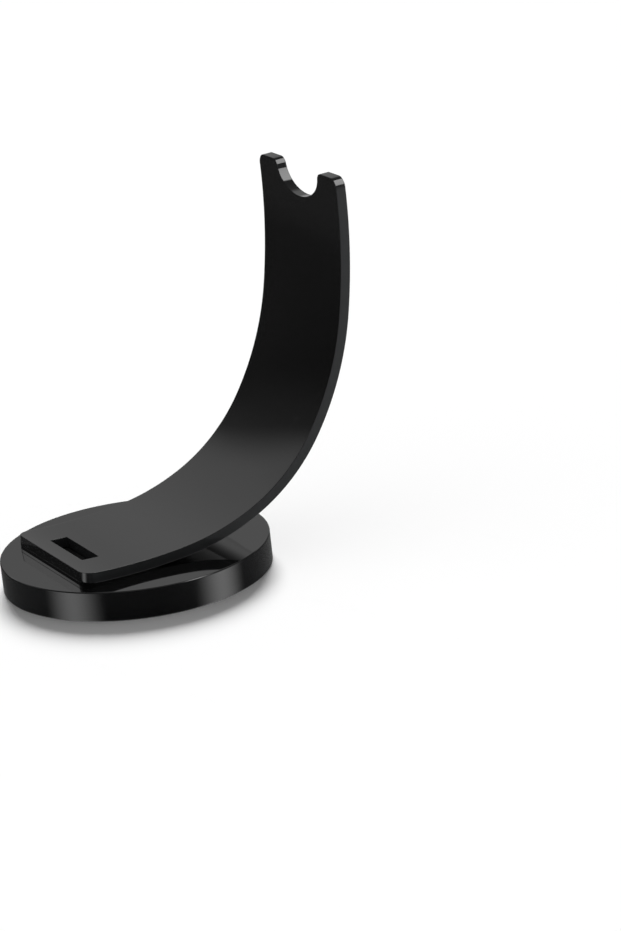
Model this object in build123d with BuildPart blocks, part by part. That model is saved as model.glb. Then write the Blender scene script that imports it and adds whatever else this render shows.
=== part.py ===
"""Pen stand: a thick round base that carries one bent strip, cemented on. Millimetres, +Z up.

The origin is the centre of the base's underside, on the desk. The strip runs along X: its toe lies
on the base at -X, and it climbs in one sweep to +X, past the base's edge. The end of a pen stands in
the slot of the toe, and its barrel leans back into the notch between the two ears at the top.
"""

import os
from math import cos, degrees, isclose, radians, sin

from build123d import *

# Base
base_diameter = 65.0
base_thickness = 7.3
base_edge_round = 0.3

# Strip, cut from flat sheet and bent warm
strip_width = 39.0
sheet_thickness = 2.5
toe_reach = 22.1  # from the base's centre to the toe's upper edge
toe_tip_up = 5.4  # slope in degrees by which the toe's end stands off the base
toe_corner_radius = 3.0

# Bends of the upper face from toe to ears: radius, and turn in degrees
toe_radius = 140.0
toe_turn = 10.7
heel_radius = 57.0
heel_turn = 18.7
belly_radius = 44.0
belly_turn = 31.7
shoulder_radius = 70.0
shoulder_turn = 23.7
back_radius = 150.0
back_turn = 12.3

# Slot in the toe for the end of the pen
slot_length = 18.4
slot_width = 4.4
slot_setback = 6.5  # from the toe's end to the middle of the slot, along the upper face
slot_corner_radius = 0.4

# Oval notch for the barrel, and the ears beside it
notch_width = 20.4  # where the oval is widest
notch_depth = 7.4  # from the ears' end to the notch's bottom
notch_middle = 1.0  # from the ears' end to where the oval is widest
ear_outer_radius = 2.5
ear_inner_radius = 2.0

# Cement between the strip and the base
cement_gap = 0.2  # at the thinnest
cement_inset = 0.3  # from the strip's edges and from the slot
cement_reach = 21.0  # along the strip's underside, back from the toe

# Places that several pieces share
base_top = base_thickness
strip_bends = [
    (toe_radius, toe_turn),
    (heel_radius, heel_turn),
    (belly_radius, belly_turn),
    (shoulder_radius, shoulder_turn),
    (back_radius, back_turn),
]
toe_slope = radians(toe_tip_up)
toe_heading = Vector(cos(toe_slope), -sin(toe_slope))
toe_centre = Vector(
    toe_radius * sin(toe_slope) - toe_reach,
    base_top + cement_gap + sheet_thickness + toe_radius,
)


def toe_point(depth, distance=0.0):
    """Point of the toe's bend, `depth` below the upper face and `distance` along it from the end."""
    angle = distance / toe_radius - toe_slope
    radius = toe_radius + depth
    return toe_centre + Vector(radius * sin(angle), -radius * cos(angle))


def bend_arcs(depth):
    """Draws the tangent arcs of the face that lies `depth` below the upper face, from toe to ears."""
    point = toe_point(depth)
    heading = toe_heading
    arcs = []
    for radius, turn in strip_bends:
        arc = JernArc(start=point, tangent=heading, radius=radius + depth, arc_size=turn)
        point = arc @ 1
        heading = arc % 1
        arcs.append(arc)
    return arcs


def sheet_plane(point, heading):
    """Plane in the strip's face at a point of the side view, with its Y along the strip to the ears."""
    return Plane(
        origin=(point.X, 0, point.Y),
        x_dir=(0, -1, 0),
        z_dir=(-heading.Y, 0, heading.X),
    )


os.makedirs("parts", exist_ok=True)

with BuildPart() as base_disc:
    with BuildSketch():
        Circle(base_diameter / 2)
    extrude(amount=base_thickness)
    fillet(base_disc.edges(), base_edge_round)
base_disc.part.label = "base_disc"
export_step(base_disc.part, "parts/base_disc.step")

slot_angle = slot_setback / toe_radius - toe_slope
slot_plane = sheet_plane(toe_point(0, slot_setback), Vector(cos(slot_angle), sin(slot_angle)))

with BuildPart() as cradle_arm:
    with BuildSketch(Plane.XZ):
        with BuildLine():
            upper_face = bend_arcs(0)
            under_face = bend_arcs(sheet_thickness)
            Line(upper_face[0] @ 0, under_face[0] @ 0)
            Line(upper_face[-1] @ 1, under_face[-1] @ 1)
        make_face()
    extrude(amount=strip_width / 2, both=True)

    # Notch, cut square through the sheet at the strip's upper end and rounded out to the ears
    with BuildSketch(sheet_plane(upper_face[-1] @ 1, upper_face[-1] % 1)) as notch:
        with BuildLine():
            oval = EllipticalCenterArc(
                center=(0, -notch_middle),
                x_radius=notch_width / 2,
                y_radius=notch_depth - notch_middle,
                start_angle=150,
                arc_size=240,
            )
            Line(oval @ 0, oval @ 1)
        make_face()
        with Locations((0, notch_depth / 2)):
            Rectangle(strip_width - 2 * ear_outer_radius, notch_depth)
        ear_points = notch.vertices().group_by(Axis.Y)[0].sort_by(Axis.X)
        fillet(ear_points[1:-1], ear_inner_radius)
    extrude(amount=2 * sheet_thickness, both=True, mode=Mode.SUBTRACT)

    # Rounded corners of the flat blank
    across_sheet = cradle_arm.edges().filter_by(
        lambda edge: isclose(edge.length, sheet_thickness, rel_tol=1e-3)
    )
    toe_corners = across_sheet.group_by(Axis.X)[0]
    ear_corners = across_sheet.group_by(Axis.Z)[-1].sort_by(Axis.Y)
    fillet(toe_corners, toe_corner_radius)
    fillet([ear_corners[0], ear_corners[-1]], ear_outer_radius)

    with BuildSketch(slot_plane):
        RectangleRounded(slot_length, slot_width, slot_corner_radius)
    extrude(amount=2 * sheet_thickness, both=True, mode=Mode.SUBTRACT)
cradle_arm.part.label = "cradle_arm"
export_step(cradle_arm.part, "parts/cradle_arm.step")

# The cement fills the wedge between the strip's underside and the base, around the slot
cement_start = toe_point(sheet_thickness, cement_inset)
cement_slope = cement_inset / toe_radius - toe_slope
cement_turn = degrees((cement_reach - cement_inset) / (toe_radius + sheet_thickness))

with BuildPart() as cement_film:
    with BuildSketch(Plane.XZ):
        with BuildLine():
            bonded_face = JernArc(
                start=cement_start,
                tangent=Vector(cos(cement_slope), sin(cement_slope)),
                radius=toe_radius + sheet_thickness,
                arc_size=cement_turn,
            )
            cement_end = bonded_face @ 1
            Polyline(
                cement_end,
                (cement_end.X, base_top),
                (cement_start.X, base_top),
                cement_start,
            )
        make_face()
    extrude(amount=strip_width / 2 - cement_inset, both=True)
    front_corners = cement_film.edges().filter_by(Axis.Z).group_by(Axis.X)[0]
    fillet(front_corners, toe_corner_radius - cement_inset)
    with BuildSketch(slot_plane):
        RectangleRounded(
            slot_length + 2 * cement_inset,
            slot_width + 2 * cement_inset,
            slot_corner_radius + cement_inset,
        )
    extrude(amount=2 * sheet_thickness, both=True, mode=Mode.SUBTRACT)
cement_film.part.label = "cement_film"
export_step(cement_film.part, "parts/cement_film.step")
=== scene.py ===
from itertools import accumulate, pairwise
from math import atan2, ceil, cos, hypot, pi, radians, sin, tan

import bmesh
import bpy
from bpy.props import FloatProperty, FloatVectorProperty, PointerProperty
from mathutils import Euler, Matrix, Vector


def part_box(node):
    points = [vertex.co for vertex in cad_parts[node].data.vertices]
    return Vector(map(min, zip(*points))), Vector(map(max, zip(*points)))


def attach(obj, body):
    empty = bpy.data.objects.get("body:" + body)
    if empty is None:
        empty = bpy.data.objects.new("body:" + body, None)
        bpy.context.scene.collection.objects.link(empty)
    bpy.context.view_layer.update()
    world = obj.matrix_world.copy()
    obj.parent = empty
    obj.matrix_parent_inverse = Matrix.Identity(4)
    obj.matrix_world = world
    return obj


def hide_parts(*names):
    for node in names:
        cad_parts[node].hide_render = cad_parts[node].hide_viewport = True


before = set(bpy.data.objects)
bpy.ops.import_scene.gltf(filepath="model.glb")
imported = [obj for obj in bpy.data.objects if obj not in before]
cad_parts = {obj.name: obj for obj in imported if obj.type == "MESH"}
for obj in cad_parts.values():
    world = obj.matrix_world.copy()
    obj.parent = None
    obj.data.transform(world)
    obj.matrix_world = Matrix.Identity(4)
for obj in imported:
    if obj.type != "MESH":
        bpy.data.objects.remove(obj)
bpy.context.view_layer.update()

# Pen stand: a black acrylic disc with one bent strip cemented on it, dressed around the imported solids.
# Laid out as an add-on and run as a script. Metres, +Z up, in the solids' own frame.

bl_info = {
    "name": "Pen Stand",
    "version": (1, 0, 0),
    "blender": (4, 5, 0),
    "location": "3D View > Sidebar > Pen Stand",
    "description": "Builds a black acrylic pen stand and the studio around it",
    "category": "Object",
}

disc_low, disc_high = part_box("base_disc")
strip_low, strip_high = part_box("cradle_arm")

# The strip's bends in order from the toe to the ears
BENDS = ("toe", "heel", "belly", "shoulder", "back")

# Directions of the flat strip
ALONG = Vector((1.0, 0.0, 0.0))
ACROSS = Vector((0.0, 1.0, 0.0))

# Painted shade on the cut edges at the strip's two ends (the toe's end, the ears and the notch): the
# share of the edges' paler colour, roughness and cutter lines taken off where they face along the strip
END_PAINTED_SHADE = 0.8

# Mesh steps round each kind of corner
TOE_STEPS = 18
EAR_STEPS = 14
SLOT_STEPS = 6
CEMENT_END_STEPS = 12


def length(name, description, default):
    """A length in metres that the user can change."""
    return FloatProperty(
        name=name, description=description, default=default, min=0.0, precision=5, subtype="DISTANCE"
    )


def turn(name, description, degrees):
    """An angle that the user can change, given here in degrees."""
    return FloatProperty(name=name, description=description, default=radians(degrees), subtype="ANGLE")


def share(name, description, default):
    """A value from 0 to 1 that the user can change."""
    return FloatProperty(
        name=name, description=description, default=default, min=0.0, max=1.0, subtype="FACTOR"
    )


def colour(name, description, default):
    """A linear colour that the user can change."""
    return FloatVectorProperty(
        name=name, description=description, default=default, min=0.0, max=1.0, size=3, subtype="COLOR"
    )


def level(name, description, default):
    """The strength of a light, which the user can change."""
    return FloatProperty(name=name, description=description, default=default, min=0.0, precision=5)


class DiscSettings(bpy.types.PropertyGroup):
    """Sizes and finish of the round base."""

    diameter: length("Diameter", "Across the disc", disc_high.x - disc_low.x)
    thickness: length("Thickness", "Height of the disc", disc_high.z - disc_low.z)
    edge_round: length("Edge round", "Radius of the polished upper and lower edges", 0.0003)
    black: colour("Black", "Body colour of the cast acrylic", (0.0040, 0.0040, 0.0041))
    edge_black: colour("Rim black", "Colour that the rim scatters", (0.0080, 0.0083, 0.0088))
    gloss: share("Roughness", "Roughness of the polished faces", 0.03)
    edge_gloss: share("Rim roughness", "Roughness of the polished rim", 0.06)
    scuff: share("Scuff", "Roughness that use rubs into the disc inside the slot", 0.9)


class StripSettings(bpy.types.PropertyGroup):
    """Sizes and finish of the bent strip."""

    width: length("Width", "Across the strip", strip_high.y - strip_low.y)
    thickness: length("Sheet", "Thickness of the sheet", 0.0025)
    edge_round: length("Edge round", "Radius that polishing leaves on the cut edges", 0.00006)
    toe_reach: length("Toe reach", "From the disc's centre to the toe's upper edge", 0.0221)
    toe_tip: turn("Toe tip", "Slope by which the toe's end stands off the disc", 5.4)
    toe_corner: length("Toe corner", "Radius of the toe's corners", 0.003)
    toe_radius: length("Toe radius", "Radius of the bend at the toe", 0.140)
    toe_turn: turn("Toe turn", "Turn of the bend at the toe", 10.7)
    heel_radius: length("Heel radius", "Radius of the bend behind the toe", 0.057)
    heel_turn: turn("Heel turn", "Turn of the bend behind the toe", 18.7)
    belly_radius: length("Belly radius", "Radius of the tightest bend", 0.044)
    belly_turn: turn("Belly turn", "Turn of the tightest bend", 31.7)
    shoulder_radius: length("Shoulder radius", "Radius of the bend above the belly", 0.070)
    shoulder_turn: turn("Shoulder turn", "Turn of the bend above the belly", 23.7)
    back_radius: length("Back radius", "Radius of the upright end", 0.150)
    back_turn: turn("Back turn", "Turn of the upright end", 12.3)
    slot_length: length("Slot length", "Across the strip", 0.0184)
    slot_width: length("Slot width", "Along the strip", 0.0044)
    slot_setback: length("Slot setback", "From the toe's end to the middle of the slot", 0.0065)
    slot_corner: length("Slot corner", "Radius of the slot's corners", 0.0004)
    notch_width: length("Notch width", "Across the oval notch where it is widest", 0.0204)
    notch_depth: length("Notch depth", "Depth of the notch below the ears' end", 0.0074)
    notch_middle: length("Notch middle", "From the ears' end to where the oval is widest", 0.001)
    ear_outer: length("Ear outer round", "Radius of the ears' outer corners", 0.0025)
    ear_inner: length("Ear inner round", "Radius of the ears' corners at the notch", 0.002)
    slice_step: length("Slice", "Spacing of the mesh lines across the strip", 0.0006)
    lane_step: length("Lane", "Spacing of the mesh lines along the strip", 0.0015)
    black: colour("Black", "Body colour of the sheet acrylic", (0.0040, 0.0040, 0.0041))
    edge_black: colour("Edge black", "Colour that the cut edges scatter", (0.0300, 0.0312, 0.0325))
    gloss: share("Roughness", "Roughness of the sheet's faces", 0.03)
    edge_gloss: share("Edge roughness", "Roughness of the polished cut edges", 0.07)
    crown_radius: length("Crown radius", "Radius of the crown across the sheet's tight bends", 0.26)


class CementSettings(bpy.types.PropertyGroup):
    """Sizes and finish of the cement under the toe."""

    gap: length("Gap", "Thickness of the cement where it is thinnest", 0.0002)
    inset: length("Inset", "How far the cement stays inside the strip's edges and the slot", 0.00004)
    reach: length("Reach", "How far the cement runs back from the toe's end", 0.021)
    unevenness: length("Unevenness", "How far the cement's edge wanders in and out", 0.00001)
    dark: colour("Dark", "Colour of the set cement", (0.0040, 0.0040, 0.0042))
    gloss: share("Roughness", "Roughness of the set cement", 0.05)


class StageSettings(bpy.types.PropertyGroup):
    """Camera, light and floor."""

    heading: turn("Heading", "Camera heading from +Y towards +X", 26.271)
    pitch: turn("Pitch", "Camera tilt below the horizon", 18.45)
    roll: turn("Roll", "Camera roll", 6.311)
    lens: FloatProperty(name="Lens", description="Focal length in millimetres", default=139.8)
    place: FloatVectorProperty(
        name="Place", description="Where the camera stands", default=(-0.3222, -0.7519, 0.2945),
        size=3, precision=5, subtype="TRANSLATION",
    )
    floor_size: length("Floor size", "Side of the square floor", 12.0)
    floor_pale: colour("Floor", "Colour of the floor", (0.94, 0.94, 0.94))
    even_dome: level("Even dome", "Level of the dome that lights matt surfaces", 0.27)
    back_light: level("Back light", "Strength of the light from behind", 4.95)
    back_compass: turn("Back compass", "Compass angle of the light from behind", 154.0)
    back_height: turn("Back height", "Height of the light from behind above the horizon", 31.0)
    back_spread: turn("Back spread", "Width of the light from behind", 28.0)
    toe_card: level("Toe card", "Watts of the card that lights the toe's mirror image", 0.00014)
    card_compass: turn("Card compass", "Compass angle of the toe card", 198.2)
    card_height: turn("Card height", "Height of the toe card above the horizon", 24.0)
    card_distance: length("Card distance", "From the toe's front to its card", 0.15)
    card_width: length("Card width", "Width of the toe card's face", 0.032)
    card_length: length("Card length", "Length of the toe card's face", 0.034)
    card_spread: turn("Card spread", "Width of the toe card's beam", 30.0)


class PenStandSettings(bpy.types.PropertyGroup):
    """All that a user can change, piece by piece."""

    disc: PointerProperty(type=DiscSettings)
    strip: PointerProperty(type=StripSettings)
    cement: PointerProperty(type=CementSettings)
    stage: PointerProperty(type=StageSettings)


# Node helpers

def feed(tree, socket, value):
    """Links a socket to another socket, or sets it to a plain value."""
    if isinstance(value, bpy.types.NodeSocket):
        tree.links.new(value, socket)
    else:
        socket.default_value = value


def add(tree, kind, inputs=None, **settings):
    """Adds a node with its settings, and feeds its inputs by name or number."""
    node = tree.nodes.new(kind)
    for name, value in settings.items():
        setattr(node, name, value)
    for name, value in (inputs or {}).items():
        feed(tree, node.inputs[name], value)
    return node


def calc(tree, operation, *values):
    """Adds a Math node and returns its result."""
    return add(tree, "ShaderNodeMath", dict(enumerate(values)), operation=operation).outputs[0]


def calc_vector(tree, operation, *values):
    """Adds a Vector Math node and returns its vector."""
    return add(tree, "ShaderNodeVectorMath", dict(enumerate(values)), operation=operation).outputs[0]


def ramp(tree, value, low, high):
    """Goes smoothly from 0 at low to 1 at high."""
    inputs = {"Value": value, "From Min": low, "From Max": high}
    return add(tree, "ShaderNodeMapRange", inputs, interpolation_type="SMOOTHSTEP").outputs["Result"]


def angle_ramp(tree, angle, low, high):
    """Goes smoothly from 0 at low to 1 at high, which are given in degrees."""
    return ramp(tree, angle, radians(low), radians(high))


def blend_colours(tree, factor, first, second):
    """Mixes from the first colour to the second, and returns the mixed colour."""
    return add(tree, "ShaderNodeMix", {0: factor, 6: first, 7: second}, data_type="RGBA").outputs[2]


def new_group(name, kind, inputs, outputs):
    """Starts a node group with named sockets, and returns it with its input and output sockets."""
    group = bpy.data.node_groups.new(name, kind)
    for socket_name, socket_type in inputs:
        group.interface.new_socket(socket_name, in_out="INPUT", socket_type="NodeSocket" + socket_type)
    for socket_name, socket_type in outputs:
        group.interface.new_socket(socket_name, in_out="OUTPUT", socket_type="NodeSocket" + socket_type)
    given = group.nodes.new("NodeGroupInput")
    result = group.nodes.new("NodeGroupOutput")
    return group, given.outputs, result.inputs


def place_group(tree, group, inputs):
    """Places a node group in a tree and returns its outputs."""
    kind = "GeometryNodeGroup" if tree.type == "GEOMETRY" else "ShaderNodeGroup"
    return add(tree, kind, inputs, node_tree=group).outputs


# Shared surface effects

def polish_marks_group():
    """Hairlines and a cloudy haze that wiping and polishing leave on glossy acrylic."""
    group, given, result = new_group(
        "polish_marks", "ShaderNodeTree",
        [("Vector", "Vector"), ("Turn", "Vector"), ("Fineness", "Float")],
        [("Lines", "Float"), ("Haze", "Float")],
    )
    turned = add(group, "ShaderNodeMapping", {"Vector": given["Vector"], "Rotation": given["Turn"]})
    strand_stretch = (18.0, 2600.0, 900.0)
    stretched = calc_vector(group, "MULTIPLY", turned.outputs[0], strand_stretch)
    strands = add(
        group, "ShaderNodeTexNoise",
        {"Vector": stretched, "Scale": given["Fineness"], "Detail": 2.0},
    )
    patches = add(
        group, "ShaderNodeTexNoise",
        {"Vector": given["Vector"], "Scale": 45.0, "Detail": 3.0},
    )
    lines = ramp(group, strands.outputs[0], 0.64, 0.74)
    wiped = ramp(group, patches.outputs[0], 0.45, 0.70)
    feed(group, result["Lines"], calc(group, "MULTIPLY", lines, wiped))
    clouds = add(
        group, "ShaderNodeTexNoise",
        {"Vector": given["Vector"], "Scale": 110.0, "Detail": 5.0},
    )
    feed(group, result["Haze"], ramp(group, clouds.outputs[0], 0.35, 0.75))
    return group


def dust_group():
    """Sparse specks of dust on faces that look up."""
    group, given, result = new_group(
        "dust", "ShaderNodeTree",
        [("Vector", "Vector"), ("Fineness", "Float"), ("Amount", "Float")],
        [("Specks", "Float")],
    )
    cells = add(group, "ShaderNodeTexVoronoi", {"Vector": given["Vector"], "Scale": given["Fineness"]})
    lot = add(group, "ShaderNodeSeparateColor", {"Color": cells.outputs["Color"]})
    picked = calc(group, "LESS_THAN", lot.outputs["Red"], given["Amount"])
    least_size = 0.04
    size_range = 0.09
    size = calc(group, "MULTIPLY_ADD", lot.outputs["Green"], size_range, least_size)
    speck = ramp(group, cells.outputs["Distance"], size, calc(group, "MULTIPLY", size, 0.5))
    normal = add(group, "ShaderNodeNewGeometry").outputs["Normal"]
    facing = add(group, "ShaderNodeSeparateXYZ", {0: normal})
    upward = ramp(group, facing.outputs["Z"], 0.1, 0.8)
    lying = calc(group, "MULTIPLY", speck, picked)
    feed(group, result["Specks"], calc(group, "MULTIPLY", lying, upward))
    return group


def waves_group():
    """Height of the very shallow waves that casting and warm bending leave in a glossy face."""
    group, given, result = new_group(
        "waves", "ShaderNodeTree",
        [("Vector", "Vector"), ("Fineness", "Float")],
        [("Height", "Float")],
    )
    broad = add(
        group, "ShaderNodeTexNoise",
        {"Vector": given["Vector"], "Scale": given["Fineness"], "Detail": 1.0},
    )
    feed(group, result["Height"], broad.outputs[0])
    return group


def cutter_lines_group():
    """Faint lines that a cutter leaves across an edge, softened by polishing."""
    group, given, result = new_group(
        "cutter_lines", "ShaderNodeTree",
        [("Run", "Vector"), ("Fineness", "Float")],
        [("Lines", "Float")],
    )
    stroke_stretch = (1.0, 0.06, 1.0)
    stretched = calc_vector(group, "MULTIPLY", given["Run"], stroke_stretch)
    strokes = add(
        group, "ShaderNodeTexNoise",
        {"Vector": stretched, "Scale": given["Fineness"], "Detail": 3.0},
    )
    feed(group, result["Lines"], strokes.outputs[0])
    return group


def patch_group():
    """Mask of an upright box, with soft sides."""
    group, given, result = new_group(
        "patch", "ShaderNodeTree",
        [("Vector", "Vector"), ("Middle", "Vector"), ("Half Size", "Vector"), ("Edge", "Float")],
        [("Mask", "Float")],
    )
    apart = calc_vector(group, "SUBTRACT", given["Vector"], given["Middle"])
    offset = calc_vector(group, "ABSOLUTE", apart)
    inside = calc_vector(group, "SUBTRACT", given["Half Size"], offset)
    parts = add(group, "ShaderNodeSeparateXYZ", {0: inside}).outputs
    least = calc(group, "MINIMUM", calc(group, "MINIMUM", parts["X"], parts["Y"]), parts["Z"])
    feed(group, result["Mask"], ramp(group, least, 0.0, given["Edge"]))
    return group


def shared_group(maker):
    """The node group that a maker builds, built once."""
    name = maker.__name__.removesuffix("_group")
    return bpy.data.node_groups.get(name) or maker()


def new_material(name):
    """A new material, with its node tree and its shader."""
    material = bpy.data.materials.new(name)
    material.use_nodes = True
    return material, material.node_tree, material.node_tree.nodes["Principled BSDF"]


def feed_bump(tree, shader, height):
    """Tilts a shader's normals by a height in metres."""
    bump = add(tree, "ShaderNodeBump", {"Height": height, "Distance": 1.0, "Strength": 1.0})
    feed(tree, shader.inputs["Normal"], bump.outputs[0])


def acrylic(name, finish, wipe_turn, wave_height, scuff_patch=None):
    """Polished black acrylic: hairlines, haze and dust on its faces, cutter lines on its edges."""
    material, tree, shader = new_material(name)
    dust_grey = (0.30, 0.29, 0.27, 1.0)
    dust_cover = 0.10
    haze_roughness = 0.02
    hairline_roughness = 0.10
    cutter_roughness = 0.04
    cutter_depth = 0.0000005
    shader.inputs["IOR"].default_value = 1.49
    here = add(tree, "ShaderNodeTexCoord").outputs["Object"]
    run = add(tree, "ShaderNodeUVMap", uv_map="sheet").outputs[0]
    cut = add(tree, "ShaderNodeAttribute", attribute_name="cut").outputs["Fac"]
    marks = place_group(
        tree, shared_group(polish_marks_group),
        {"Vector": here, "Turn": (0.0, 0.0, wipe_turn), "Fineness": 1.0},
    )
    dust = place_group(
        tree, shared_group(dust_group), {"Vector": here, "Fineness": 700.0, "Amount": 0.10},
    )
    waves = place_group(tree, shared_group(waves_group), {"Vector": here, "Fineness": 55.0})
    strokes = place_group(tree, shared_group(cutter_lines_group), {"Run": run, "Fineness": 900.0})

    dusted = calc(tree, "MULTIPLY", dust["Specks"], dust_cover)
    clean = blend_colours(tree, cut, (*finish.black, 1.0), (*finish.edge_black, 1.0))
    body = blend_colours(tree, dusted, clean, dust_grey)
    feed(tree, shader.inputs["Base Color"], body)

    hazy = calc(tree, "MULTIPLY_ADD", marks["Haze"], haze_roughness, finish.gloss)
    face_rough = calc(tree, "MULTIPLY_ADD", marks["Lines"], hairline_roughness, hazy)
    if scuff_patch:
        scuffed = place_group(tree, shared_group(patch_group), {"Vector": here, **scuff_patch})["Mask"]
        face_rough = calc(tree, "MULTIPLY_ADD", scuffed, finish.scuff, face_rough)
    edge_rough = calc(tree, "MULTIPLY_ADD", strokes["Lines"], cutter_roughness, finish.edge_gloss)
    step = calc(tree, "SUBTRACT", edge_rough, face_rough)
    feed(tree, shader.inputs["Roughness"], calc(tree, "MULTIPLY_ADD", step, cut, face_rough))

    on_face = calc(tree, "MULTIPLY", waves["Height"], wave_height)
    on_edge = calc(tree, "MULTIPLY", strokes["Lines"], cut)
    height = calc(tree, "MULTIPLY_ADD", on_edge, cutter_depth, on_face)
    feed_bump(tree, shader, height)
    return material


def set_cement(settings):
    """Cement that has set: dark and glossy, with small bubbles and an uneven skin."""
    material, tree, shader = new_material("set_cement")
    milk = (0.10, 0.10, 0.11, 1.0)
    milk_cover = 0.02
    skin_roughness = 0.04
    bubble_roughness = 0.2
    skin_height = 0.0000005
    shader.inputs["IOR"].default_value = 1.47
    here = add(tree, "ShaderNodeTexCoord").outputs["Object"]
    waves = place_group(tree, shared_group(waves_group), {"Vector": here, "Fineness": 900.0})
    bubbles = place_group(
        tree, shared_group(dust_group), {"Vector": here, "Fineness": 1500.0, "Amount": 0.25},
    )
    milky = calc(tree, "MULTIPLY", waves["Height"], milk_cover)
    body = blend_colours(tree, milky, (*settings.dark, 1.0), milk)
    feed(tree, shader.inputs["Base Color"], body)
    skin = calc(tree, "MULTIPLY_ADD", waves["Height"], skin_roughness, settings.gloss)
    rough = calc(tree, "MULTIPLY_ADD", bubbles["Specks"], bubble_roughness, skin)
    feed(tree, shader.inputs["Roughness"], rough)
    height = calc(tree, "MULTIPLY", waves["Height"], skin_height)
    feed_bump(tree, shader, height)
    return material


def pale_floor(settings):
    """Matt pale card with a very fine tooth."""
    material, tree, shader = new_material("pale_floor")
    shader.inputs["Roughness"].default_value = 0.9
    shader.inputs["Specular IOR Level"].default_value = 0.0
    here = add(tree, "ShaderNodeTexCoord").outputs["Object"]
    tooth = add(tree, "ShaderNodeTexNoise", {"Vector": here, "Scale": 2500.0, "Detail": 2.0})
    pale = settings.floor_pale
    tooth_shade = 0.985
    darker = [tooth_shade * value for value in pale]
    surface = blend_colours(tree, tooth.outputs[0], (*darker, 1.0), (*pale, 1.0))
    feed(tree, shader.inputs["Base Color"], surface)
    return material


# Outlines of the flat sheet, as points (along, across, outward along, outward across)

def round_corner(centre, radius, start, stop, count, hollow=False):
    """Points of an arc from one angle to another, which faces its own centre where it is hollow."""
    points = []
    for index in range(count + 1):
        at = start + (stop - start) * index / count
        facing = -1.0 if hollow else 1.0
        points.append((
            centre[0] + radius * cos(at),
            centre[1] + radius * sin(at),
            facing * cos(at),
            facing * sin(at),
        ))
    return points


def mirrored_loop(half):
    """Closes a half outline, whose ends lie on the strip's middle line, with its mirror image."""
    other = [(x, -y, out_x, -out_y) for x, y, out_x, out_y in half[-2:0:-1]]
    return half + other


def oval_notch(sizes, total):
    """Half outline of an ear's inner round and of the oval notch, down to the notch's bottom."""
    half = sizes.notch_width / 2
    deep = sizes.notch_depth - sizes.notch_middle
    round_radius = sizes.ear_inner

    def wall(at):
        """Depth and place across on the oval, and the direction from there into the sheet."""
        into = Vector((sin(at) / deep, cos(at) / half)).normalized()
        return Vector((sizes.notch_middle + deep * sin(at), half * cos(at))), into

    # The round touches the oval where its centre lies one radius below the ears' end, found by halving
    low, high = -pi / 2, pi / 2
    halvings = 40
    for _ in range(halvings):
        meeting = (low + high) / 2
        place, into = wall(meeting)
        if place.x + round_radius * into.x < round_radius:
            low = meeting
        else:
            high = meeting
    centre = place + round_radius * into
    stop = atan2(-into.y, into.x)
    points = round_corner((total - centre.x, centre.y), round_radius, 0.0, stop, EAR_STEPS)
    steps = 48
    for index in range(1, steps + 1):
        place, into = wall(meeting + (pi / 2 - meeting) * index / steps)
        points.append((total - place.x, place.y, into.x, -into.y))
    return points


def strip_half(sizes, total):
    """Half outline of the flat strip from the middle of its toe to the bottom of its notch."""
    edge = sizes.width / 2
    toe = round_corner(
        (sizes.toe_corner, edge - sizes.toe_corner), sizes.toe_corner, pi, pi / 2, TOE_STEPS,
    )
    outer = round_corner(
        (total - sizes.ear_outer, edge - sizes.ear_outer), sizes.ear_outer, pi / 2, 0.0, EAR_STEPS,
    )
    return [(0.0, 0.0, -1.0, 0.0)] + toe + outer + oval_notch(sizes, total)


def slot_half(sizes, grow=0.0):
    """Half outline of the slot, grown on all sides where something stays clear of it."""
    front = sizes.slot_setback - sizes.slot_width / 2 - grow
    rear = sizes.slot_setback + sizes.slot_width / 2 + grow
    side = sizes.slot_length / 2 + grow
    corner = sizes.slot_corner + grow
    first = round_corner((front + corner, side - corner), corner, pi, pi / 2, SLOT_STEPS, hollow=True)
    second = round_corner((rear - corner, side - corner), corner, pi / 2, 0.0, SLOT_STEPS, hollow=True)
    return [(front, 0.0, 1.0, 0.0)] + first + second + [(rear, 0.0, -1.0, 0.0)]


def cement_half(sizes, cement):
    """Half outline of the cement from under the toe's end to where it stops."""
    edge = sizes.width / 2 - cement.inset
    corner = sizes.toe_corner - cement.inset
    toe = round_corner((cement.inset + corner, edge - corner), corner, pi, pi / 2, TOE_STEPS)
    end = round_corner((cement.reach - corner, edge - corner), corner, pi / 2, 0.0, CEMENT_END_STEPS)
    return [(cement.inset, 0.0, -1.0, 0.0)] + toe + end + [(cement.reach, 0.0, 1.0, 0.0)]


def run_lengths(loop):
    """Distance along a closed outline at each of its points, and at its end."""
    steps = [hypot(b[0] - a[0], b[1] - a[1]) for a, b in pairwise(loop + loop[:1])]
    return list(accumulate(steps, initial=0.0))


def edge_rings(thickness, round_radius):
    """Rings (inset, height, cut) round a sheet's edge, from its upper face to its lower face."""
    hold = 0.0001
    steps = 4
    upper = []
    for index in range(steps + 1):
        at = pi / 2 * index / steps
        upper.append((round_radius * (1 - sin(at)), -round_radius * (1 - cos(at)), index / steps))
    first = [(round_radius + hold, 0.0, 0.0)] + upper + [(0.0, -round_radius - hold, 1.0)]
    second = [(inset, -thickness - height, cut) for inset, height, cut in reversed(first)]
    return first + second


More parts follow.
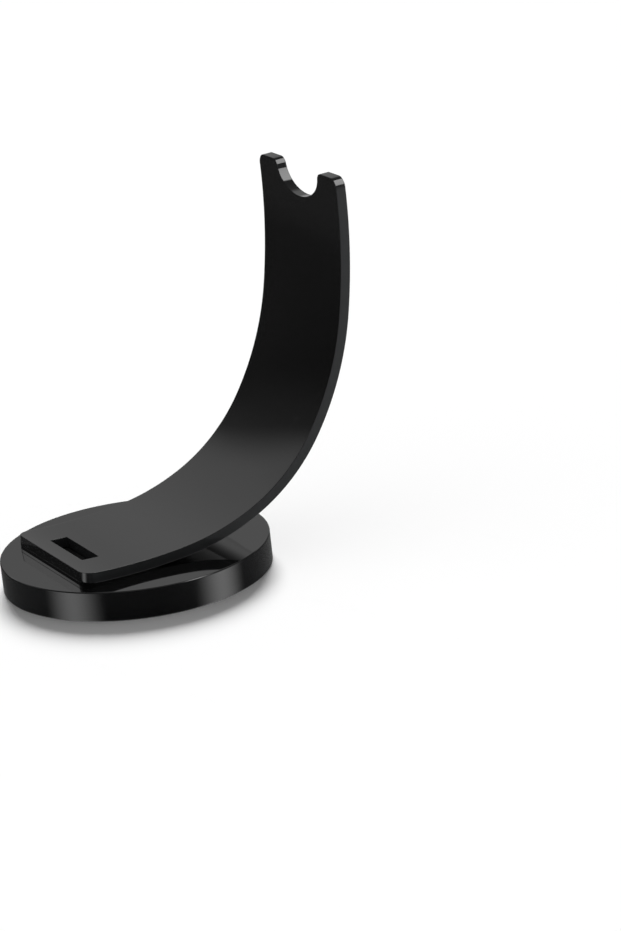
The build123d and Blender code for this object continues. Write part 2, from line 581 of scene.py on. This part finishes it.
def slab(outer, slot, rings):
    """Closed flat solid between an outline and its slot, with its flat faces split at the middle."""
    mesh = bmesh.new()
    sheet = mesh.loops.layers.uv.new("sheet")
    cut_layer = mesh.verts.layers.float.new("cut")
    faces_of = []
    for half, darker in ((outer, END_PAINTED_SHADE), (slot, 0.0)):
        loop = mirrored_loop(half)
        runs = run_lengths(loop)
        rows = []
        for inset, height, cut in rings:
            row = []
            for x, y, out_x, out_y in loop:
                vert = mesh.verts.new((x - out_x * inset, y - out_y * inset, height))
                # Painted shade: edges that face along the strip keep less of the paler edge colour, the
                # more the further they face along it
                vert[cut_layer] = cut * (1.0 - darker * abs(out_x))
                row.append(vert)
            rows.append(row)
        for (_, high, _), (_, low, _), upper, lower in zip(rings, rings[1:], rows, rows[1:]):
            for index in range(len(loop)):
                after = (index + 1) % len(loop)
                face = mesh.faces.new((upper[index], upper[after], lower[after], lower[index]))
                here, there = runs[index:index + 2]
                corners = ((here, high), (there, high), (there, low), (here, low))
                for corner, place in zip(face.loops, corners):
                    corner[sheet].uv = place
        faces_of.append((rows[0], rows[-1]))
    far = len(outer) - 1
    back = len(slot) - 1
    for rim, hole in zip(*faces_of):
        halves = (
            rim[:far + 1] + hole[back::-1],
            rim[far:] + rim[:1] + hole[:1] + hole[:back - 1:-1],
        )
        for verts in halves:
            face = mesh.faces.new(verts)
            for corner in face.loops:
                corner[sheet].uv = corner.vert.co.xy
    bmesh.ops.recalc_face_normals(mesh, faces=mesh.faces)
    return mesh


def slice_evenly(mesh, direction, step, low, high):
    """Cuts a flat solid's faces at even steps in one direction, so that it can bend."""
    for index in range(ceil(low / step), int(high / step) + 1):
        bmesh.ops.bisect_plane(
            mesh, geom=mesh.verts[:] + mesh.edges[:] + mesh.faces[:], dist=1e-7,
            plane_co=index * step * direction, plane_no=direction,
        )


# Warm bending of the flat strip

def bend_zone_group():
    """Bends what lies beyond a start line upwards, round one radius and by one turn."""
    group, given, result = new_group(
        "bend_zone", "GeometryNodeTree",
        [("Position", "Vector")] + [(name, "Float") for name in ("Along", "Start", "Radius", "Turn")],
        [("Position", "Vector")],
    )
    zone = calc(group, "MULTIPLY", given["Radius"], given["Turn"])
    beyond = calc(group, "SUBTRACT", given["Along"], given["Start"])
    inside = calc(group, "MINIMUM", calc(group, "MAXIMUM", beyond, 0.0), zone)
    turned = calc(group, "DIVIDE", inside, given["Radius"])
    fixed = add(group, "ShaderNodeCombineXYZ", {"X": calc(group, "ADD", given["Start"], inside)})
    local = calc_vector(group, "SUBTRACT", given["Position"], fixed.outputs[0])
    swung = add(
        group, "ShaderNodeVectorRotate",
        {"Vector": local, "Angle": calc(group, "MULTIPLY", turned, -1.0)}, rotation_type="Y_AXIS",
    )
    forward = calc(group, "MULTIPLY_ADD", calc(group, "SINE", turned), given["Radius"], given["Start"])
    drop = calc(group, "MULTIPLY", calc(group, "COSINE", turned), given["Radius"])
    upward = calc(group, "SUBTRACT", given["Radius"], drop)
    arc = add(group, "ShaderNodeCombineXYZ", {"X": forward, "Z": upward})
    feed(group, result["Position"], calc_vector(group, "ADD", arc.outputs[0], swung.outputs[0]))
    return group


def crown(tree, parts, width, radius):
    """Lift of the flat strip's middle where its bends crown it, and none at its sides and ends."""
    rise_start, rise_end = 0.041, 0.071
    fade_start, fade_end = 0.088, 0.116
    rising = ramp(tree, parts["X"], rise_start, rise_end)
    fading = ramp(tree, parts["X"], fade_end, fade_start)
    tight = calc(tree, "MULTIPLY", rising, fading)
    half_squared = calc(tree, "MULTIPLY", calc(tree, "MULTIPLY", width, width), 1 / 4)
    drop = calc(tree, "SUBTRACT", half_squared, calc(tree, "MULTIPLY", parts["Y"], parts["Y"]))
    crowned = calc(tree, "MULTIPLY", drop, tight)
    lift = calc(tree, "DIVIDE", crowned, calc(tree, "MULTIPLY", radius, 2.0))
    return add(tree, "ShaderNodeCombineXYZ", {"Z": lift}).outputs[0]


def warm_bend_tree():
    """Crowns the flat strip, bends it zone by zone from the ears back, and lays its toe on the disc."""
    inputs = [("Geometry", "Geometry"), ("Width", "Float"), ("Crown Radius", "Float")]
    for bend in BENDS:
        inputs += [(f"{bend.title()} Radius", "Float"), (f"{bend.title()} Turn", "Float")]
    inputs += [("Toe Tip", "Float"), ("Toe Place", "Vector"), ("Finish", "Material")]
    tree, given, result = new_group("warm_bend", "GeometryNodeTree", inputs, [("Geometry", "Geometry")])
    flat = add(tree, "GeometryNodeInputPosition").outputs[0]
    parts = add(tree, "ShaderNodeSeparateXYZ", {0: flat}).outputs
    along = parts["X"]
    starts = [0.0]
    for bend in BENDS[:-1]:
        zone = calc(tree, "MULTIPLY", given[f"{bend.title()} Radius"], given[f"{bend.title()} Turn"])
        starts.append(calc(tree, "ADD", zone, starts[-1]))
    zone_group = shared_group(bend_zone_group)
    position = calc_vector(tree, "ADD", flat, crown(tree, parts, given["Width"], given["Crown Radius"]))
    for bend, start in reversed(list(zip(BENDS, starts))):
        position = place_group(tree, zone_group, {
            "Position": position,
            "Along": along,
            "Start": start,
            "Radius": given[f"{bend.title()} Radius"],
            "Turn": given[f"{bend.title()} Turn"],
        })["Position"]
    tipped = add(
        tree, "ShaderNodeVectorRotate", {"Vector": position, "Angle": given["Toe Tip"]},
        rotation_type="Y_AXIS",
    )
    laid = calc_vector(tree, "ADD", tipped.outputs[0], given["Toe Place"])
    bent = add(tree, "GeometryNodeSetPosition", {"Geometry": given["Geometry"], "Position": laid})
    smooth = add(tree, "GeometryNodeSetShadeSmooth", {"Geometry": bent.outputs[0]})
    real = add(tree, "GeometryNodeRealizeInstances", {"Geometry": smooth.outputs[0]})
    finished = add(
        tree, "GeometryNodeSetMaterial", {"Geometry": real.outputs[0], "Material": given["Finish"]},
    )
    feed(tree, result["Geometry"], finished.outputs[0])
    return tree


def toe_place(sizes, cement, base_top):
    """Upper edge of the toe's end, where the bent strip starts."""
    rise = sizes.toe_radius * (1 - cos(sizes.toe_tip))
    return Vector((-sizes.toe_reach, 0.0, base_top + cement.gap + sizes.thickness + rise))


def new_piece(name, mesh):
    """Links a new object with that mesh at the origin."""
    piece = bpy.data.objects.new(name, mesh)
    bpy.context.scene.collection.objects.link(piece)
    return piece


def mesh_from(built, name, material):
    """Turns a finished bmesh into a smooth mesh with one material."""
    mesh = bpy.data.meshes.new(name)
    built.to_mesh(mesh)
    built.free()
    mesh.shade_smooth()
    mesh.materials.append(material)
    return mesh


def settle(piece, node):
    """Makes a finished piece stand for a solid, on the stand's one body."""
    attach(piece, "root")
    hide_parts(node)


class PENSTAND_OT_base_disc(bpy.types.Operator):
    """Turns the round base with its rounded, polished edges"""

    bl_idname = "pen_stand.base_disc"
    bl_label = "Base disc"

    def execute(self, context):
        settings = context.scene.pen_stand
        sizes = settings.disc
        strip = settings.strip
        count = 288
        radius = sizes.diameter / 2
        lift = sizes.thickness
        built = bmesh.new()
        sheet = built.loops.layers.uv.new("sheet")
        cut_layer = built.verts.layers.float.new("cut")
        rows = []
        for inset, height, cut in edge_rings(sizes.thickness, sizes.edge_round):
            reach = radius - inset
            row = []
            for index in range(count):
                at = 2 * pi * index / count
                vert = built.verts.new((reach * cos(at), reach * sin(at), lift + height))
                vert[cut_layer] = cut
                row.append(vert)
            rows.append(row)
        step = 2 * pi * radius / count
        for upper, lower in pairwise(rows):
            for index in range(count):
                after = (index + 1) % count
                face = built.faces.new((upper[index], lower[index], lower[after], upper[after]))
                for corner, along in zip(face.loops, (index, index, index + 1, index + 1)):
                    corner[sheet].uv = (along * step, corner.vert.co.z)
        for row in (rows[0], rows[-1]):
            face = built.faces.new(row)
            for corner in face.loops:
                corner[sheet].uv = corner.vert.co.xy
        bmesh.ops.recalc_face_normals(built, faces=built.faces)
        scuff_margin = 0.0003
        scuff_height = 0.001
        scuff_patch = {
            "Middle": (strip.slot_setback - strip.toe_reach, 0.0, lift),
            "Half Size": (
                strip.slot_width / 2 + scuff_margin,
                strip.slot_length / 2 + scuff_margin,
                scuff_height,
            ),
            "Edge": scuff_margin,
        }
        finish = acrylic(
            "cast_black_acrylic", sizes, wipe_turn=0.5, wave_height=0.000004, scuff_patch=scuff_patch,
        )
        piece = new_piece("polished_disc", mesh_from(built, "polished_disc", finish))
        settle(piece, "base_disc")
        return {"FINISHED"}


class PENSTAND_OT_cradle_arm(bpy.types.Operator):
    """Cuts the flat strip with its slot, notch and ears, and bends it warm"""

    bl_idname = "pen_stand.cradle_arm"
    bl_label = "Bent strip"

    def execute(self, context):
        settings = context.scene.pen_stand
        sizes = settings.strip
        bends = [(getattr(sizes, f"{bend}_radius"), getattr(sizes, f"{bend}_turn")) for bend in BENDS]
        total = sum(radius * angle for radius, angle in bends)
        rings = edge_rings(sizes.thickness, sizes.edge_round)
        blank = slab(strip_half(sizes, total), slot_half(sizes), rings)
        slice_evenly(blank, ALONG, sizes.slice_step, 0.0, total)
        slice_evenly(blank, ACROSS, sizes.lane_step, -sizes.width / 2, sizes.width / 2)
        finish = acrylic("sheet_black_acrylic", sizes, wipe_turn=0.1, wave_height=0.000006)
        piece = new_piece("bent_strip", mesh_from(blank, "flat_strip", finish))

        tree = warm_bend_tree()
        sockets = [item for item in tree.interface.items_tree if item.in_out == "INPUT"]
        named = {socket.name: socket.identifier for socket in sockets}
        modifier = piece.modifiers.new("warm_bend", "NODES")
        modifier.node_group = tree
        for bend, (radius, angle) in zip(BENDS, bends):
            modifier[named[f"{bend.title()} Radius"]] = radius
            modifier[named[f"{bend.title()} Turn"]] = angle
        modifier[named["Width"]] = sizes.width
        modifier[named["Crown Radius"]] = sizes.crown_radius
        modifier[named["Toe Tip"]] = sizes.toe_tip
        modifier[named["Toe Place"]] = toe_place(sizes, settings.cement, settings.disc.thickness)
        modifier[named["Finish"]] = finish
        depsgraph = context.evaluated_depsgraph_get()
        bent = bpy.data.meshes.new_from_object(
            piece.evaluated_get(depsgraph), preserve_all_data_layers=True, depsgraph=depsgraph,
        )
        bent.name = "bent_strip"
        piece.modifiers.clear()
        piece.data = bent
        settle(piece, "cradle_arm")
        return {"FINISHED"}


class PENSTAND_OT_cement_film(bpy.types.Operator):
    """Fills the wedge under the toe with cement whose edge wanders and stands square to the strip"""

    bl_idname = "pen_stand.cement_film"
    bl_label = "Cement"

    def execute(self, context):
        settings = context.scene.pen_stand
        sizes = settings.strip
        cement = settings.cement
        base_top = settings.disc.thickness
        outer = self.wander(cement_half(sizes, cement), cement.unevenness)
        slot = slot_half(sizes, cement.inset)
        hold = 0.0002
        slice_step = 0.001
        edge = [(0.0, share_up, 1.0) for share_up in (1.0, 0.96, 0.04, 0.0)]
        rings = [(hold, 1.0, 0.0)] + edge + [(hold, 0.0, 0.0)]
        built = slab(outer, slot, rings)
        slice_evenly(built, ALONG, slice_step, 0.0, cement.reach)
        start = toe_place(sizes, cement, base_top)
        centre_x = start.x + sizes.toe_radius * sin(sizes.toe_tip)
        centre_z = start.z + sizes.toe_radius * cos(sizes.toe_tip)
        under = sizes.toe_radius + sizes.thickness
        for vert in built.verts:
            at = vert.co.x / sizes.toe_radius - sizes.toe_tip
            roof = centre_z - under * cos(at)
            vert.co.z = base_top + (roof - base_top) * vert.co.z
            vert.co.x = centre_x + (centre_z - vert.co.z) * tan(at)
        piece = new_piece("cement_line", mesh_from(built, "cement_line", set_cement(cement)))
        settle(piece, "cement_film")
        return {"FINISHED"}

    def wander(self, half, amount):
        """Moves an outline's points in and out a little, as the edge of squeezed cement runs."""
        moved = []
        for x, y, out_x, out_y in half:
            run = x + y
            broad = 0.6 * sin(1300.0 * run)
            fine = 0.4 * sin(3100.0 * run + 1.0)
            shift = amount * (broad + fine)
            moved.append((x + out_x * shift, y + out_y * shift, out_x, out_y))
        return moved


# Angles that bound a soft box. Compass angles run from -Y towards +X, and heights from the horizon up.
SOFT_BOX_ANGLES = ("Middle", "Half Width", "Side Edge", "Low", "Low Edge", "High", "High Edge")

# Soft boxes: strength, and the angles above in degrees
SOFT_BOXES = {
    "left strip": (2.2, (-82.5, 30.0, 30.0, -60.0, 12.0, 12.0, 12.0)),
    "right strip": (2.5, (49.0, 28.0, 28.0, -60.0, 12.0, 12.0, 12.0)),
    "low back": (0.62, (149.0, 24.0, 12.0, -5.0, 9.5, 19.5, 15.5)),
}

# Strength of each soft glow of the studio's walls, ceiling and floor
ROOM_GLOWS = {
    "back wall": 0.52,
    "upper room": 0.11,
    "lower room": 0.03,
    "rear": 0.052,
    "right": 0.06,
    "underneath": 0.9,
    "front": 0.4,
    "arch": 6.0,
}


def soft_box_group():
    """Glow of one soft box in the studio, by compass angle and height, with soft edges."""
    group, given, result = new_group(
        "soft_box", "ShaderNodeTree",
        [(name, "Float") for name in ("Compass", "Height", *SOFT_BOX_ANGLES)],
        [("Glow", "Float")],
    )
    offset = calc(group, "SUBTRACT", given["Compass"], given["Middle"])
    aside = calc(group, "ABSOLUTE", calc(group, "WRAP", offset, pi, -pi))
    inner = calc(group, "SUBTRACT", given["Half Width"], given["Side Edge"])
    across = ramp(group, aside, given["Half Width"], inner)
    low_inside = calc(group, "ADD", given["Low"], given["Low Edge"])
    above = ramp(group, given["Height"], given["Low"], low_inside)
    high_inside = calc(group, "SUBTRACT", given["High"], given["High Edge"])
    below = ramp(group, given["Height"], given["High"], high_inside)
    feed(group, result["Glow"], calc(group, "MULTIPLY", across, calc(group, "MULTIPLY", above, below)))
    return group


def bearing(compass, height):
    """Unit vector towards a compass angle, from -Y towards +X, and a height above the horizon."""
    return Vector((cos(height) * sin(compass), -cos(height) * cos(compass), sin(height)))


def back_wall(tree, compass, height):
    """Mask of the studio's back, which glows from above the horizon up, and higher up towards -X."""
    behind = calc(tree, "WRAP", calc(tree, "SUBTRACT", compass, pi), pi, -pi)
    swing = angle_ramp(tree, behind, -10.0, 16.0)
    low = calc(tree, "MULTIPLY_ADD", swing, radians(17.5), radians(1.0))
    high = calc(tree, "MULTIPLY_ADD", swing, radians(-12.0), radians(42.0))
    lid = angle_ramp(tree, height, 45.0, 33.0)
    sides = angle_ramp(tree, calc(tree, "ABSOLUTE", behind), 75.0, 45.0)
    return calc(tree, "MULTIPLY", ramp(tree, height, low, high), calc(tree, "MULTIPLY", lid, sides))


def arch(tree, parts, height):
    """Mask of a slim light that arches over the front. The ears' rounds mirror it."""
    middle = 0.4
    aside = calc(tree, "ABSOLUTE", calc(tree, "SUBTRACT", parts["X"], middle))
    rising = angle_ramp(tree, height, 22.0, 26.0)
    ending = angle_ramp(tree, height, 69.0, 65.0)
    ends = calc(tree, "MULTIPLY", rising, ending)
    slim = calc(tree, "MULTIPLY", ramp(tree, aside, 0.20, 0.02), ends)
    return calc(tree, "MULTIPLY", slim, ramp(tree, parts["Y"], 0.05, -0.05))


def studio_light(world, settings):
    """Glows that glossy faces mirror, and an even dome for all else. The camera itself sees white."""
    world.use_nodes = True
    tree = world.node_tree
    background = tree.nodes["Background"]
    toward = add(tree, "ShaderNodeTexCoord").outputs["Generated"]
    parts = add(tree, "ShaderNodeSeparateXYZ", {0: toward}).outputs
    compass = calc(tree, "ARCTAN2", parts["X"], calc(tree, "MULTIPLY", parts["Y"], -1.0))
    height = calc(tree, "ARCSINE", parts["Z"])

    in_front = ramp(tree, parts["Y"], 0.1, -0.4)
    masks = {
        "back wall": back_wall(tree, compass, height),
        "upper room": angle_ramp(tree, height, 6.0, 24.0),
        "lower room": angle_ramp(tree, height, -9.0, -13.0),
        "rear": ramp(tree, parts["Y"], -0.3, 0.5),
        "right": ramp(tree, parts["X"], -0.2, 0.5),
        "underneath": angle_ramp(tree, height, -30.0, -45.0),
        "front": calc(tree, "MULTIPLY", in_front, angle_ramp(tree, height, 24.0, 45.0)),
        "arch": arch(tree, parts, height),
    }
    glow = 0.0
    for name, mask in masks.items():
        glow = calc(tree, "MULTIPLY_ADD", mask, ROOM_GLOWS[name], glow)
    for strength, angles in SOFT_BOXES.values():
        inputs = {"Compass": compass, "Height": height}
        for name, angle in zip(SOFT_BOX_ANGLES, angles):
            inputs[name] = radians(angle)
        box = place_group(tree, shared_group(soft_box_group), inputs)["Glow"]
        glow = calc(tree, "MULTIPLY_ADD", box, strength, glow)

    white = (1.0, 1.0, 1.0, 1.0)
    even = (settings.even_dome, settings.even_dome, settings.even_dome, 1.0)
    path = add(tree, "ShaderNodeLightPath").outputs
    lit = blend_colours(tree, path["Is Glossy Ray"], even, glow)
    feed(tree, background.inputs["Color"], blend_colours(tree, path["Is Camera Ray"], lit, white))


def lamp(name, kind, energy, aim, towards, distance):
    """A lamp that stands in a direction from a point and shines back at it."""
    light = bpy.data.objects.new(name, bpy.data.lights.new(name, kind))
    bpy.context.scene.collection.objects.link(light)
    light.data.energy = energy
    light.location = aim + distance * towards
    light.rotation_euler = towards.to_track_quat("Z", "Y").to_euler()
    light.visible_camera = False
    return light


class PENSTAND_OT_stage(bpy.types.Operator):
    """Sets up the camera, the studio light and the pale floor"""

    bl_idname = "pen_stand.stage"
    bl_label = "Stage"

    def execute(self, context):
        settings = context.scene.pen_stand.stage
        scene = context.scene
        scene.view_settings.view_transform = "Standard"

        camera = bpy.data.objects.new("camera", bpy.data.cameras.new("camera"))
        scene.collection.objects.link(camera)
        camera.data.lens = settings.lens
        camera.data.sensor_width = 36.0
        aim = Euler((pi / 2 - settings.pitch, 0.0, -settings.heading)).to_matrix()
        rolled = aim @ Matrix.Rotation(-settings.roll, 3, "Z")
        camera.matrix_world = Matrix.LocRotScale(settings.place, rolled, None)
        scene.camera = camera

        scene.world = bpy.data.worlds.new("studio")
        studio_light(scene.world, settings)

        half = settings.floor_size / 2
        mesh = bpy.data.meshes.new("floor")
        corners = [(-half, -half, 0.0), (half, -half, 0.0), (half, half, 0.0), (-half, half, 0.0)]
        mesh.from_pydata(corners, [], [(0, 1, 2, 3)])
        mesh.materials.append(pale_floor(settings))
        floor = new_piece("floor", mesh)
        floor.visible_glossy = False

        # From behind and for the floor alone, so that the disc's shadow falls in front of it. The slim
        # strip throws no shadow here.
        disc_middle = Vector((0.0, 0.0, 0.0))
        far = 3.0
        from_behind = bearing(settings.back_compass, settings.back_height)
        back = lamp("back_light", "SUN", settings.back_light, disc_middle, from_behind, far)
        back.data.angle = settings.back_spread
        back.visible_glossy = False
        blockers = bpy.data.collections.new("back_light_blockers")
        blockers.objects.link(bpy.data.objects["polished_disc"])
        back.light_linking.blocker_collection = blockers
        receivers = bpy.data.collections.new("back_light_receivers")
        receivers.objects.link(floor)
        back.light_linking.receiver_collection = receivers

        # A small card that brightens the toe's mirror image in the disc
        toe_front = Vector((-0.022, 0.0, 0.0095))
        from_card = bearing(settings.card_compass, settings.card_height)
        card = lamp("toe_card", "AREA", settings.toe_card, toe_front, from_card, settings.card_distance)
        card.data.shape = "RECTANGLE"
        card.data.size = settings.card_width
        card.data.size_y = settings.card_length
        card.data.spread = settings.card_spread
        card.visible_diffuse = False
        return {"FINISHED"}


class PENSTAND_PT_sidebar(bpy.types.Panel):
    """Lists the stand's sizes and finishes, and builds each piece"""

    bl_label = "Pen Stand"
    bl_space_type = "VIEW_3D"
    bl_region_type = "UI"
    bl_category = "Pen Stand"

    def draw(self, context):
        settings = context.scene.pen_stand
        for group, operator in (
            (settings.disc, PENSTAND_OT_base_disc),
            (settings.strip, PENSTAND_OT_cradle_arm),
            (settings.cement, PENSTAND_OT_cement_film),
            (settings.stage, PENSTAND_OT_stage),
        ):
            box = self.layout.box()
            box.operator(operator.bl_idname)
            for name in group.__annotations__:
                box.prop(group, name)


CLASSES = (
    DiscSettings,
    StripSettings,
    CementSettings,
    StageSettings,
    PenStandSettings,
    PENSTAND_OT_base_disc,
    PENSTAND_OT_cradle_arm,
    PENSTAND_OT_cement_film,
    PENSTAND_OT_stage,
    PENSTAND_PT_sidebar,
)


def register():
    """Registers the classes, and the settings on the scene."""
    for kind in CLASSES:
        bpy.utils.register_class(kind)
    bpy.types.Scene.pen_stand = PointerProperty(type=PenStandSettings)


def unregister():
    """Takes the settings off the scene, and the classes out again."""
    del bpy.types.Scene.pen_stand
    for kind in reversed(CLASSES):
        bpy.utils.unregister_class(kind)


def main():
    """Registers the classes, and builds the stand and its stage."""
    register()
    bpy.ops.pen_stand.base_disc()
    bpy.ops.pen_stand.cradle_arm()
    bpy.ops.pen_stand.cement_film()
    bpy.ops.pen_stand.stage()


if __name__ == "__main__":
    main()
